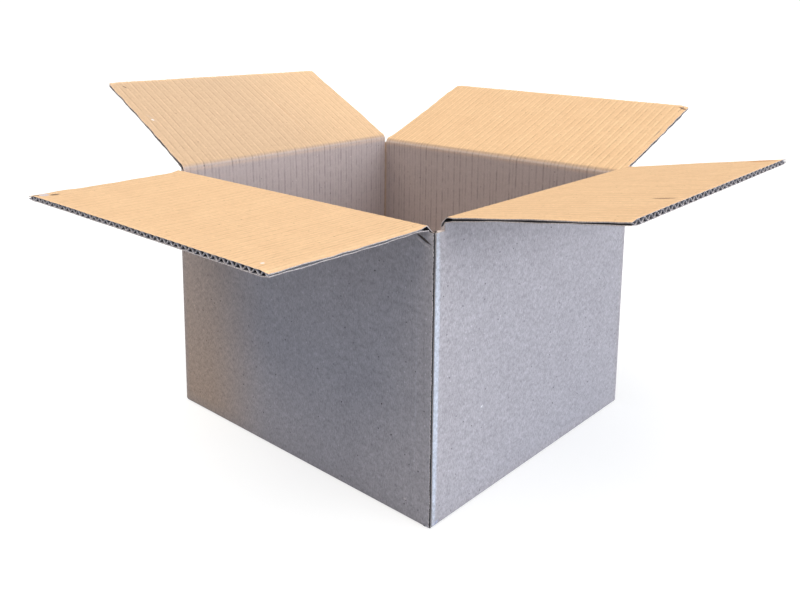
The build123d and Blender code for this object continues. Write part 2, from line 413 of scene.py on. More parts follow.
@dataclass
class Flap:
    """A top flap: two liners and the flutes between them, from the fold to the cut edge.

    The fields after length say where the liners start below the fold, how the pressed fold is cut
    across, how far each liner's turn reaches from the hinge, and how the board is warped, widened and crushed.
    """

    panel: Panel
    board: Board
    elevation: float
    length: float
    hinge: float = 0.15 * MM
    inner_band: float = 12 * MM
    outer_band: float = 6 * MM
    corner_cut: float = 2.2 * MM
    inner_zone: float = 3.0 * MM
    side_recess: float = 1.1 * MM
    outer_zone: float = 0.8 * MM
    tip_lift: float = 0.0
    twist: float = 0.0
    flare: float = 0.0
    pinch: float = 0.85 * MM
    # How much painted shade darkens the inside face, strongest towards the front end.
    dull: float = 0.0
    corner_pull: float = 0.0
    split_fold: bool = False

    def spread(self, s: np.ndarray, u: np.ndarray) -> np.ndarray:
        """Places along the fold, flared at the start side: s - flare k q, with k = u/length held to 0 to 1.

        Here q is the smooth step of -s from 0 to half.
        """
        return s - np.clip(u / self.length, 0, 1) * self.flare * smooth(-s, 0, self.panel.half)

    def squeeze(self, s: np.ndarray) -> np.ndarray:
        """How crushed the board is towards its two side edges, 0 to 1."""
        start, stop = self.panel.start, self.panel.stop
        return np.maximum(smooth(s, stop - 7 * MM, stop), smooth(-s, -start - 7 * MM, -start))

    def direction(self) -> np.ndarray:
        """From the fold to the cut edge in (a, b): (-cos e, sin e)."""
        return np.array([-math.cos(self.elevation), math.sin(self.elevation)])

    def normal(self) -> np.ndarray:
        """From the outside liner to the inside one in (a, b): (sin e, cos e)."""
        return np.array([math.sin(self.elevation), math.cos(self.elevation)])

    def warp(self, s: np.ndarray, u: np.ndarray) -> np.ndarray:
        """Lift of the board: tip_lift k^2 + twist k s/half, with k from 0 at the fold to 1 at the edge."""
        k = smooth(u, 4 * MM, self.length) * 0.6 + 0.4 * np.clip(u / self.length, 0, 1)
        k = k * smooth(u, 2 * MM, 12 * MM)
        return self.tip_lift * k * k + self.twist * k * s / self.panel.half

    def to_frame(self, s: np.ndarray, ab: np.ndarray, lift: np.ndarray) -> np.ndarray:
        """Points in the part's frame from (a, b) round the hinge, lifted along the flap's normal."""
        normal = self.normal()
        a = ab[..., 0] + normal[0] * lift - self.hinge
        z = ab[..., 1] + normal[1] * lift + self.panel.fold
        return self.panel.place(s, a, z)

    def edge_wander(self, s: np.ndarray, seed: int) -> np.ndarray:
        """How far the cut edge wanders: a slow and a fine uneven field, and a pull at one corner."""
        pulled = self.corner_pull * smooth(-s, self.panel.half - 25 * MM, self.panel.half)
        slow = 0.25 * MM * waves(s, s * 0, 60 * MM, seed)
        return pulled + slow + 0.12 * MM * waves(s, s * 0, 3.1 * MM, seed + 1)

    def liner_sheet(self, path: np.ndarray, inside: bool, s: np.ndarray) -> Shell:
        """A liner along a path in (a, b), swept along the fold.

        Point = path + normal * (-washboard), and its back lies one liner deeper.

        Args:
            path: Points from the wall, round the fold, to the cut edge.
            inside: True for the inside liner.
            s: Places along the fold.

        Returns:
            The shell.
        """
        board = self.board
        seed = self.panel.seed
        normals = path_normals(path) * (1 if inside else -1)
        u = path @ self.direction()
        S, U = np.meshgrid(s, np.where(u > 0, u, path[:, 1]))
        lift = self.warp(S, U)
        stretch = smooth(U, self.length * 0.9, self.length) * self.edge_wander(s, seed)
        if inside:
            dip = board.washboard(S, seed) * self.panel.ripples(S)
        else:
            dip = 0.15 * board.washboard(S + board.pitch / 2, 3)
        dip = dip + 0.04 * MM * waves(S, U, 9 * MM, seed + 5) * smooth(U, 2 * MM, 8 * MM)
        uneven = self.pinch * (1 + 0.35 * waves(U, U * 0, 31 * MM, seed + 2))
        dip = dip + uneven * self.squeeze(S) * smooth(U, 1 * MM, 9 * MM)
        ab = path[:, None, :] + self.direction() * stretch[..., None]
        centre, half = (s[0] + s[-1]) / 2, (s[-1] - s[0]) / 2
        off = np.abs(S - centre)
        torn = 0.35 * MM * waves(U, U * 0, 16 * MM, seed + 9) + 0.15 * MM * waves(U, U * 0, 5 * MM, 8)
        cut = self.spread(S + np.sign(S - centre) * torn * smooth(off, half - 2 * MM, half), U)
        front = self.to_frame(cut, ab - normals[:, None, :] * dip[..., None], lift)
        frayed = board.liner * (1 + 1.1 * smooth(off, half - 1.0 * MM, half))
        back = self.to_frame(cut, ab - normals[:, None, :] * (dip + frayed)[..., None], lift)
        along = np.concatenate([[0], np.cumsum(np.linalg.norm(np.diff(path, axis=0), axis=1))])[:, None]
        past = along - along[np.argmin(np.hypot(path[:, 0], path[:, 1]))]
        crease = np.broadcast_to(0.8 * bump(past, 1 * MM, 1.3 * MM), S.shape)
        edge = np.maximum(smooth(U, self.length - 1.4 * MM, self.length), smooth(off, half - 1.2 * MM, half))
        if inside:
            # Inside: painted shade on the wall below the fold, none on the flap.
            shelter = 1 - smooth(past, -2 * MM, 3.5 * MM) + 0 * S
            # Painted shade on the flap's inside face, fading towards its back end.
            brown = self.dull * (1 - 0.65 * smooth(-S, -0.03, self.panel.half)) * (1 - shelter)
            crease = np.maximum(crease, brown)
            # Painted highlight: a pale band on the inner wall just below the fold.
            edge = np.maximum(edge, 0.7 * bump(past, -3.2 * MM, 1.8 * MM))
        else:
            # Outside: painted warm bounce light on the wall below the fold.
            shelter = self.panel.painted_warm_bounce(S) * (U < 0)
        sheet = self.panel.sheet(cut, self.panel.fold + past, board)
        finishes = INSIDE_LINER if inside else OUTSIDE_LINER
        return closed_sheet(front, back, sheet, finishes, crease, edge, shelter)

    def inside_path(self) -> np.ndarray:
        """Inside liner: up the wall's inner face, across the pressed fold, along the flap's inner face."""
        face = self.hinge + self.board.thick
        reach = self.corner_cut - face * math.tan(math.pi / 4 - self.elevation / 2)
        turn_out = self.direction() * reach + self.normal() * face
        tip = self.direction() * self.length + self.normal() * face
        close = turn_out + self.direction() * 7 * MM
        corners = np.array([[face, -self.inner_band], [face, -reach], turn_out, close, tip])
        radius, steps = (0.3 * MM, 1) if self.split_fold else (self.corner_cut * 0.42, 3)
        return rounded_path(corners, [radius, radius, 0.5 * MM], [12, steps, 8, 34], 4)

    def outside_path(self) -> np.ndarray:
        """Outside liner: up the wall's outer face to the score, then along the flap's outer face."""
        tip = self.direction() * self.length + self.normal() * self.hinge
        corner = np.array([self.hinge, self.hinge * math.tan(math.pi / 4 - self.elevation / 2)])
        corners = np.array([[self.hinge, -self.outer_band], corner, tip])
        return rounded_path(corners, [0.7 * MM], [6, 40], 4)

    def zone(self, reach: float, face: float) -> tuple[np.ndarray, np.ndarray]:
        """Where a liner's turn starts, reach below the hinge on the wall, and ends, beyond it on the flap."""
        start = self.to_frame(np.float64(0), np.array([face, -reach]), np.float64(0))
        stop = self.to_frame(np.float64(0), self.direction() * reach + self.normal() * face, np.float64(0))
        return start, stop

    def flute_sheet(self) -> Shell:
        """The medium on the flap: its two faces carried from past the crease to the cut edge."""
        s = self.board.columns(self.panel.start + self.side_recess, self.panel.stop - self.side_recess, 12)
        s_in, t_in, s_out, t_out = self.board.medium_faces(s)
        near_edge = self.length - np.array([1.6, 0.8, 0.15]) * MM
        u = np.concatenate([[4.8 * MM], np.linspace(9 * MM, self.length - 3 * MM, 9), near_edge])
        S, U = np.meshgrid(s, u)
        wander = smooth(U, self.length * 0.9, self.length) * (self.edge_wander(S, self.panel.seed) - 0.1 * MM)
        line = (U + wander)[..., None] * self.direction()
        middle = self.board.thick / 2
        flat = 1 - 0.42 * self.squeeze(s)
        lift = self.warp(S, U) + self.hinge + middle
        front = self.to_frame(self.spread(s_in, U), line, lift + (t_in - middle) * flat)
        back = self.to_frame(self.spread(s_out, U), line, lift + (t_out - middle) * flat)
        # Full colour near the cut edge and at the crushed sides; the material paints the medium darker deeper
        # in, as painted shade inside the flutes.
        edge = smooth(U, self.length - 2.2 * MM, self.length - 0.4 * MM)
        edge = np.maximum(edge, 0.8 * self.squeeze(S) ** 6)
        return closed_sheet(front, back, self.panel.sheet(S, U, self.board), MEDIUM, edge=edge)

    def build(self, materials: list[bpy.types.Material]) -> None:
        """Makes the flap's two liners, shaped round the fold, and its flutes, which ride on the flap."""
        body = f"{self.panel.name}_flap"
        face = self.hinge + self.board.thick
        s = self.board.columns(self.panel.start, self.panel.stop)
        liner = self.liner_sheet(self.inside_path(), True, s)
        inner = make_object(f"{body}_inside_liner", [liner], materials)
        start, stop = self.zone(self.inner_zone, face)
        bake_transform(inner)
        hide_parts(body)
        s = self.board.columns(self.panel.start, self.panel.stop, 4)
        liner = self.liner_sheet(self.outside_path(), False, s)
        outer = make_object(f"{body}_outside_liner", [liner], materials)
        start, stop = self.zone(self.outer_zone, self.hinge)
        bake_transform(outer)
        flutes = make_object(f"{body}_flutes", [self.flute_sheet()], materials)
        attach(flutes, body)


# ---------------------------------------------------------------- walls and bottom


@dataclass
class Walls:
    """The four walls as one strip, from the fold behind the near corner round to the raw edge."""

    panels: list[Panel]
    board: Board
    slot_bottom: float
    fold_radius: float = 3 * MM
    inner_radius: float = 0.5 * MM
    raw_edge: float = 149 * MM
    raw_strip: float = 6 * MM
    shoulder: float = 0.4 * MM
    inner_band: float = 12 * MM
    outer_band: float = 6 * MM
    hinge: float = 0.15 * MM
    recess: float = 0.35 * MM
    clearance: float = 0.28 * MM
    crushed: float = 0.42
    raw_radius: float = 0.9 * MM

    def squeezed(self, s: np.ndarray, a: np.ndarray) -> np.ndarray:
        """Depth in the front wall near its raw edge: a (1 - crushed q), q a smooth step over the strip."""
        return a * (1 - self.crushed * smooth(s, self.raw_edge - self.raw_strip, self.raw_edge - 1 * MM))

    def panel_columns(self, panel: Panel) -> np.ndarray:
        """Places along a wall, with two close ones at each shoulder of its flap."""
        end = panel.half - self.fold_radius
        stop = self.raw_edge - self.raw_strip if panel.name == "front" else end
        crushed = self.board.thick * (1 - self.crushed)
        start = panel.half - crushed - self.raw_radius if panel.name == "right" else end
        s = self.board.columns(-start, stop)
        tiny = 0.02 * MM
        shoulders = np.array([panel.start - self.shoulder, panel.stop + self.shoulder])
        marks = np.concatenate([shoulders - tiny, shoulders + tiny])
        marks = marks[(marks > -start) & (marks < stop)]
        keep = np.min(np.abs(s[:, None] - marks[None, :]), axis=1) > 0.15 * MM
        keep[[0, -1]] = True
        return np.sort(np.concatenate([s[keep], marks]))

    def corner(
        self, before: np.ndarray, after: np.ndarray, point: np.ndarray, radius: float
    ) -> tuple[np.ndarray, np.ndarray]:
        """Outer and inner plan points of a vertical fold.

        Outer = centre + radius * n and inner = inner centre + small radius * n, with
        n = before cos k + after sin k and k from 0 to a quarter turn.

        Args:
            before: Outward direction of the wall that ends here.
            after: Outward direction of the wall that starts here.
            point: Corner of the outer faces.
            radius: Radius of the outer face.

        Returns:
            The outer and the inner points.
        """
        k = np.linspace(0, math.pi / 2, 8)[1:-1, None]
        n = before * np.cos(k) + after * np.sin(k)
        both = before + after
        outer = point - radius * both + radius * n
        inner = point - (self.board.thick + self.inner_radius) * both + self.inner_radius * n
        return outer, inner

    def lines(self) -> dict[str, np.ndarray]:
        """Upright lines of the walls, from the near corner round to the raw edge, by the name of a measure.

        outer and inner are plan points, the inner ones crowded away from the folds. The faces end at
        top_out and top_in, and the flaps' liners take over at seam_out and seam_in. sheet is the
        distance along the board. held is 1 under a flap, near is 1 at a fold, dip is the inside
        liner's washboard and warm is the painted warm bounce light on the outside.

        Returns:
            One array for each name.
        """
        board = self.board
        lists: dict[str, list[np.ndarray]] = {}

        def add(count: int, **measures: float | np.ndarray) -> None:
            """Adds count lines, with a value for each of them or one for all."""
            for name, value in measures.items():
                shape = (count, 2) if name in ("outer", "inner") else (count,)
                lists.setdefault(name, []).append(np.broadcast_to(value, shape))

        previous = np.array(self.panels[-1].out, float)
        last = None
        for panel in self.panels:
            out, along = np.array([panel.out, panel.along], float)
            s = self.panel_columns(panel)
            place = s + panel.laps * board.pitch
            point = out * panel.reach - along * panel.half
            radius = self.fold_radius
            if last is None:
                point = point + along * board.thick * (1 - self.crushed)
                radius = self.raw_radius
                last = place[0] - 1.4 * MM
            corner_out, corner_in = self.corner(previous, out, point, radius)
            count = len(corner_out)
            held = (s > panel.start - self.shoulder) & (s < panel.stop + self.shoulder)
            near = smooth(np.abs(s), panel.half - 9 * MM, panel.half - 3 * MM)
            inner_s = s - np.sign(s) * np.clip(np.abs(s) - (panel.half - 12 * MM), 0, None) / 6
            # Painted warm bounce light on the outside of the front wall.
            brown = panel.painted_warm_bounce(s)
            top = panel.fold - self.hinge - self.clearance
            seams = {"seam_out": panel.fold - self.outer_band, "seam_in": panel.fold - self.inner_band}
            add(
                count,
                outer=corner_out,
                inner=corner_in,
                top_out=self.slot_bottom,
                top_in=self.slot_bottom,
                sheet=np.linspace(last, place[0], count + 2)[1:-1],
                held=0.0,
                near=1.0,
                dip=0.0,
                warm=brown[0] * 0.6,
                **seams,
            )
            add(
                len(s),
                outer=out * panel.reach + along * s[:, None],
                inner=out * (panel.reach - board.thick) + along * inner_s[:, None],
                top_out=np.where(held, top, self.slot_bottom),
                top_in=np.where(held, top - board.thick, self.slot_bottom),
                sheet=place,
                held=held,
                near=near,
                dip=board.washboard(s, panel.seed) * panel.ripples(s) * (1 - near),
                warm=brown,
                **seams,
            )
            last = place[-1]
            previous = out
        return {name: np.concatenate(parts) for name, parts in lists.items()}

    def strip(self) -> Shell:
        """The walls: each line's outer face with the rounded bottom fold, and its inner face, row by row.

        Returns:
            The closed shell of all four walls.
        """
        line = self.lines()
        sheet, held, near, dip = (line[name] for name in ("sheet", "held", "near", "dip"))
        thick = self.board.thick
        low = self.fold_radius
        seam = line["seam_out"]
        level = np.linspace(1, 0, 23)[1:, None]
        turn = np.linspace(0, math.pi / 2, 6)[1:, None]
        z_turn = low * (1 - np.sin(turn)) + 0 * sheet
        z_out = np.vstack([line["top_out"], seam + 0.02 * MM, seam, low + (seam - low) * level, z_turn])
        fade = smooth(z_out, 3 * MM, 30 * MM) * smooth(seam - z_out, 0, 25 * MM) * (1 - near)
        bulge = 0.35 * MM * waves(sheet, z_out, 120 * MM, 11) + 0.05 * MM * waves(sheet, z_out, 14 * MM, 12)
        a_out = (bulge + 0.2 * self.board.washboard(sheet, 3)) * fade
        a_out[:2] += self.recess * held
        a_out[-len(turn) :] += low * (1 - np.cos(turn))
        seam = line["seam_in"]
        level = np.linspace(1, 0, 28)[1:, None]
        z_in = np.vstack([line["top_in"], seam + 0.02 * MM, seam, seam * level])
        a_in = thick - dip + 0 * z_in
        a_in[:2] -= self.recess * held
        inward = line["inner"] - line["outer"]
        span = np.linalg.norm(inward, axis=1)
        unit = inward / span[:, None]
        deeper = np.where(span > 1.05 * thick, span / thick, 1)
        plan_front = line["outer"] + unit * (a_out * deeper)[..., None]
        plan_back = line["outer"] + unit * (a_in * span / thick)[..., None]
        shell = closed_sheet(
            np.concatenate([plan_front, z_out[..., None]], -1),
            np.concatenate([plan_back, z_in[..., None]], -1),
            np.stack(np.broadcast_arrays(sheet, z_out), -1),
            (Face.OUTSIDE, Face.INSIDE, Face.CUT),
            # Painted shade near the floor, and darker at the upright folds.
            0.6 * np.maximum(near * 0.8, 1 - smooth(z_out, 0, 7 * MM)),
            1 - smooth(np.abs(z_out - line["top_out"]), 0, 1.5 * MM),
            # Painted warm bounce light, a little weaker towards the top.
            line["warm"] * (1 - 0.35 * smooth(z_out, 0, 0.2)),
        )
        count = z_out.size
        # The walls' inside faces get full painted shade.
        shell.shelter[count:] = 1
        shell.sheet[count:, 1] = z_in.ravel()
        # Painted shade in the inner corners.
        shell.crease[count:] = np.broadcast_to(near**8, z_in.shape).ravel()
        return shell

    def raw_edge_shells(self) -> list[Shell]:
        """The cut end of the front wall: both liners and the medium, from the strip to the raw edge."""
        panel = self.panels[-1]
        board = self.board
        low = self.fold_radius
        rows = 420
        turn = np.linspace(0, math.pi / 2, 5)[1:]
        z = np.concatenate([np.linspace(self.slot_bottom, low, rows), low * (1 - np.sin(turn))])
        a = np.concatenate([np.zeros(rows), low * (1 - np.cos(turn))])[:, None]
        s = board.columns(self.raw_edge - self.raw_strip, self.raw_edge)
        S, Z = np.meshgrid(s, z)
        teeth = 0.34 * MM * waves(Z, Z * 0, 1.9 * MM, 41) + 0.2 * MM * waves(Z, Z * 0, 19 * MM, 42)
        frayed = S + (S > self.raw_edge - 0.01 * MM) * teeth
        outside = closed_sheet(
            panel.place(frayed, a, Z),
            panel.place(frayed, a + board.liner, Z),
            panel.sheet(S, Z, board),
            OUTSIDE_LINER,
            edge=smooth(S, self.raw_edge - 1.2 * MM, self.raw_edge),
        )
        z = np.linspace(self.slot_bottom, 1 * MM, 60)
        S, Z = np.meshgrid(s, z)
        face = self.squeezed(S, board.thick)
        inside = closed_sheet(
            panel.place(S, face, Z),
            panel.place(S, face - board.liner, Z),
            panel.sheet(S, Z, board),
            INSIDE_LINER,
            # Painted shade on the inside face.
            shelter=1.0,
        )
        s = board.columns(self.raw_edge - self.raw_strip + 0.5 * MM, self.raw_edge - 0.9 * MM, 12)
        s_in, t_in, s_out, t_out = board.medium_faces(s)
        S, Z = np.meshgrid(s, z)
        medium = closed_sheet(
            panel.place(s_in, self.squeezed(s, t_in), Z),
            panel.place(s_out, self.squeezed(s, t_out), Z),
            panel.sheet(S, Z, board),
            MEDIUM,
        )
        return [outside, inside, medium]

    def build(self, materials: list[bpy.types.Material]) -> None:
        """Makes the walls and the raw edge, which stay still."""
        walls = make_object("walls", [self.strip()], materials)
        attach(walls, BODY)
        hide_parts(BODY)
        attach(make_object("front_wall_raw_edge", self.raw_edge_shells(), materials), BODY)


@dataclass
class BoardPiece:
    """A flat stretch of board as three sheets: the glue tab or one of the bottom flaps."""

    name: str
    panel: Panel
    board: Board
    start: float
    stop: float

    def point(self, s: np.ndarray, u: np.ndarray, t: np.ndarray | float) -> np.ndarray:
        """Place of sheet coordinates in the part's frame; each kind of piece gives its own."""
        raise NotImplementedError

    def ends(self, s: np.ndarray) -> tuple[np.ndarray, np.ndarray]:
        """Where the board starts and stops along u at each s; each kind of piece gives its own."""
        raise NotImplementedError

    def grid(self, s: np.ndarray, rows: int = 8) -> tuple[np.ndarray, np.ndarray, np.ndarray]:
        """Rows of points between the two ends at each s.

        Args:
            s: Places across the flutes.
            rows: How many points along each flute.

        Returns:
            Their places S and U, and their distances along the board.
        """
        first, last = self.ends(s)
        U = first + (last - first) * np.linspace(0, 1, rows)[:, None]
        S = np.broadcast_to(s, U.shape)
        return S, U, self.panel.sheet(S, U, self.board)

    def sheets(self) -> list[Shell]:
        """Inside liner, outside liner and medium, each between the two ends at every s."""
        board = self.board
        S, U, sheet = self.grid(board.columns(self.start, self.stop))
        face = board.thick - board.washboard(S, self.panel.seed + 20)
        under = self.point(S, U, face - board.liner)
        # Painted shade on the inside liner.
        inside = closed_sheet(self.point(S, U, face), under, sheet, INSIDE_LINER, shelter=1.0)
        S, U, sheet = self.grid(board.columns(self.start, self.stop, 2))
        outside = closed_sheet(self.point(S, U, 0.0), self.point(S, U, board.liner), sheet, OUTSIDE_LINER)
        s = board.columns(self.start + 0.2 * MM, self.stop - 0.2 * MM, 12)
        s_in, t_in, s_out, t_out = board.medium_faces(s)
        S, U, sheet = self.grid(s)
        medium = closed_sheet(self.point(s_in, U, t_in), self.point(s_out, U, t_out), sheet, MEDIUM)
        return [inside, outside, medium]

    def build(self, materials: list[bpy.types.Material]) -> None:
        """Makes the piece, which stays still with the body."""
        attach(make_object(self.name, self.sheets(), materials), BODY)


@dataclass
class GlueTab(BoardPiece):
    """The tab behind the near corner, glued inside the front wall, with tapered ends."""

    low: float = 9 * MM
    high: float = 216.5 * MM
    taper: float = math.tan(math.radians(12))

    def point(self, s: np.ndarray, u: np.ndarray, t: np.ndarray | float) -> np.ndarray:
        """On the front wall's inner face: a = thick + t, at height u."""
        return self.panel.place(s, self.board.thick + t, u)

    def ends(self, s: np.ndarray) -> tuple[np.ndarray, np.ndarray]:
        """Lower and upper end: low + drop and high - drop, with drop = (stop - s) * taper."""
        drop = (self.stop - s) * self.taper
        return self.low + drop, self.high - drop


@dataclass
class BottomLeaf(BoardPiece):
    """A bottom flap, level, at its own height."""

    height: float = 0.0
    length: float = 130 * MM

    def point(self, s: np.ndarray, u: np.ndarray, t: np.ndarray | float) -> np.ndarray:
        """Inward from the wall's inner face: a = thick + u, at height + t."""
        return self.panel.place(s, self.board.thick + u, self.height + t)

    def ends(self, s: np.ndarray) -> tuple[np.ndarray, np.ndarray]:
        """From the wall to the leaf's length."""
        return 0 * s, 0 * s + self.length


# ---------------------------------------------------------------- materials


class Value:
    """A socket of a material's node tree, on which Python's operators add Math nodes."""

    def __init__(self, tree: bpy.types.NodeTree, socket: bpy.types.NodeSocket) -> None:
        """Wraps a socket of a tree."""
        self.tree = tree
        self.socket = socket

    def math(self, operation: str, *values: "float | Value") -> "Value":
        """A Math node on these values, which are numbers or wrapped sockets."""
        node = self.tree.nodes.new("ShaderNodeMath")
        node.operation = operation
        for slot, value in zip(node.inputs, values):
            join(self.tree, slot, value)
        return Value(self.tree, node.outputs[0])

    def __add__(self, other: "float | Value") -> "Value":
        """self + other."""
        return self.math("ADD", self, other)

    __radd__ = __add__

    def __sub__(self, other: "float | Value") -> "Value":
        """self - other."""
        return self.math("SUBTRACT", self, other)

    def __rsub__(self, other: "float | Value") -> "Value":
        """other - self."""
        return self.math("SUBTRACT", other, self)

    def __mul__(self, other: "float | Value") -> "Value":
        """self * other."""
        return self.math("MULTIPLY", self, other)

    __rmul__ = __mul__

    def __pow__(self, other: "float | Value") -> "Value":
        """self to a power."""
        return self.math("POWER", self, other)

    def cosine(self) -> "Value":
        """Cosine of self in radians."""
        return self.math("COSINE", self)


def join(tree: bpy.types.NodeTree, slot: bpy.types.NodeSocket, value: object) -> None:
    """Links a wrapped socket to a slot, or sets the slot to a plain value."""
    if isinstance(value, Value):
        tree.links.new(value.socket, slot)
    else:
        slot.default_value = value


class Finish:
    """A material under construction."""

    def __init__(self, name: str) -> None:
        """Starts a material with a Principled shader."""
        self.material = bpy.data.materials.new(name)
        self.material.use_nodes = True
        self.tree = self.material.node_tree
        self.tree.nodes.clear()
        self.shader = self.tree.nodes.new("ShaderNodeBsdfPrincipled")
        output = self.tree.nodes.new("ShaderNodeOutputMaterial")
        self.tree.links.new(self.shader.outputs[0], output.inputs[0])

    def node(self, kind: str, settings: dict, sockets: dict, output: "int | str" = 0) -> Value:
        """Any node: its settings first, then its sockets.

        Args:
            kind: Node type.
            settings: Property values.
            sockets: Socket name or number, and its value or link.
            output: Which output is wanted.

        Returns:
            That output.
        """
        node = self.tree.nodes.new(kind)
        for name, value in settings.items():
            setattr(node, name, value)
        for name, value in sockets.items():
            join(self.tree, node.inputs[name], value)
        return Value(self.tree, node.outputs[output])

    def board_map(self) -> Value:
        """The sheet map, in metres along the board."""
        return self.node("ShaderNodeUVMap", {"uv_map": "board"}, {})

    def stretched(self, source: Value, x: float, y: float) -> Value:
        """The map scaled so that a pattern is x by y times as fine."""
        return self.node("ShaderNodeVectorMath", {"operation": "MULTIPLY"}, {0: source, 1: (x, y, 1.0)})

    def wear_and_light(self, name: str) -> Value:
        """One of the mesh attributes of creases, cut edges and painted light, as a number."""
        return self.node("ShaderNodeAttribute", {"attribute_name": name}, {}, "Fac")

    def noise(self, source: Value, scale: float, detail: float = 2.0, rough: float = 0.5) -> Value:
        """Noise about 0.5 in a pattern of scale cells to a metre."""
        return self.node(
            "ShaderNodeTexNoise", {}, {"Vector": source, "Scale": scale, "Detail": detail, "Roughness": rough}
        )

    def step(self, value: Value, low: float, high: float) -> Value:
        """Smooth step of a value from low to high."""
        return self.node(
            "ShaderNodeMapRange",
            {"interpolation_type": "SMOOTHSTEP"},
            {"Value": value, "From Min": low, "From Max": high, "To Min": 0.0, "To Max": 1.0},
        )

    def flecks(self, source: Value, scale: float, share: float, size: float) -> Value:
        """Specks: near a cell's centre (within size), in the share of cells whose own number is small."""
        cells = {"Vector": source, "Scale": scale, "Randomness": 1.0}
        distance = self.node("ShaderNodeTexVoronoi", {}, cells)
        colour = self.node("ShaderNodeTexVoronoi", {}, cells, "Color")
        pick = self.node("ShaderNodeSeparateColor", {}, {"Color": colour})
        near = 1.0 - self.step(distance, size * 0.5, size)
        return near * (1.0 - self.step(pick, share * 0.8, share))

    def mix(self, factor: "float | Value", first: object, second: object, blend: str = "MIX") -> Value:
        """A mix of two colours, which are links or four numbers."""
        return self.node(
            "ShaderNodeMix", {"data_type": "RGBA", "blend_type": blend}, {0: factor, 6: first, 7: second}, 2
        )

    def tone(self, colour: Value, amount: Value) -> Value:
        """A colour times a brightness."""
        return self.node("ShaderNodeVectorMath", {"operation": "SCALE"}, {0: colour, "Scale": amount})

    def finish(self, colour: Value, height: Value, rough: Value, strength: float) -> bpy.types.Material:
        """Feeds the shader.

        Args:
            colour: Base colour.
            height: Relief in millimetres.
            rough: Roughness.
            strength: Strength of the relief.

        Returns:
            The finished material.
        """
        sockets = {"Strength": strength, "Distance": MM, "Height": height}
        relief = self.node("ShaderNodeBump", {}, sockets, "Normal")
        for name, value in (("Base Color", colour), ("Roughness", rough), ("Normal", relief)):
            join(self.tree, self.shader.inputs[name], value)
        self.shader.inputs["Specular IOR Level"].default_value = 0.25
        return self.material


def rgba(red: float, green: float, blue: float) -> tuple[float, float, float, float]:
    """A colour with full opacity."""
    return red, green, blue, 1.0


@dataclass(frozen=True)
class Mark:
    """A scuff, nick, tear, pressed line, painted shade or painted highlight on one face of a panel.

    Its place, half length and half width are in millimetres, and its turn is in degrees.
    """

    panel: str
    s: float
    height: float
    long: float
    wide: float
    turn: float
    colour: tuple[float, float, float]
    amount: float
    ragged: float = 0.5

    def over(self, f: Finish, board: Value, colour: Value, pitch: float) -> Value:
        """The colour with this mark on it: full inside its ellipse, fading at a ragged rim.

        Args:
            f: Material under construction.
            board: The sheet map.
            colour: Colour under the mark.
            pitch: Distance from flute to flute.

        Returns:
            The new colour.
        """
        at = ((self.s + LAPS[self.panel] * pitch / MM) * MM, self.height * MM, 0.0)
        local = f.node(
            "ShaderNodeMapping",
            {"vector_type": "TEXTURE"},
            {
                "Vector": board,
                "Location": at,
                "Rotation": (0.0, 0.0, math.radians(self.turn)),
                "Scale": (self.long * MM, self.wide * MM, 1.0),
            },
        )
        distance = f.node("ShaderNodeVectorMath", {"operation": "LENGTH"}, {0: local}, "Value")
        rim = distance + (f.noise(board, 1300.0, 2.0, 0.6) - 0.5) * (2.0 * self.ragged)
        return f.mix((1.0 - f.step(rim, 0.55, 1.0)) * self.amount, colour, rgba(*self.colour))


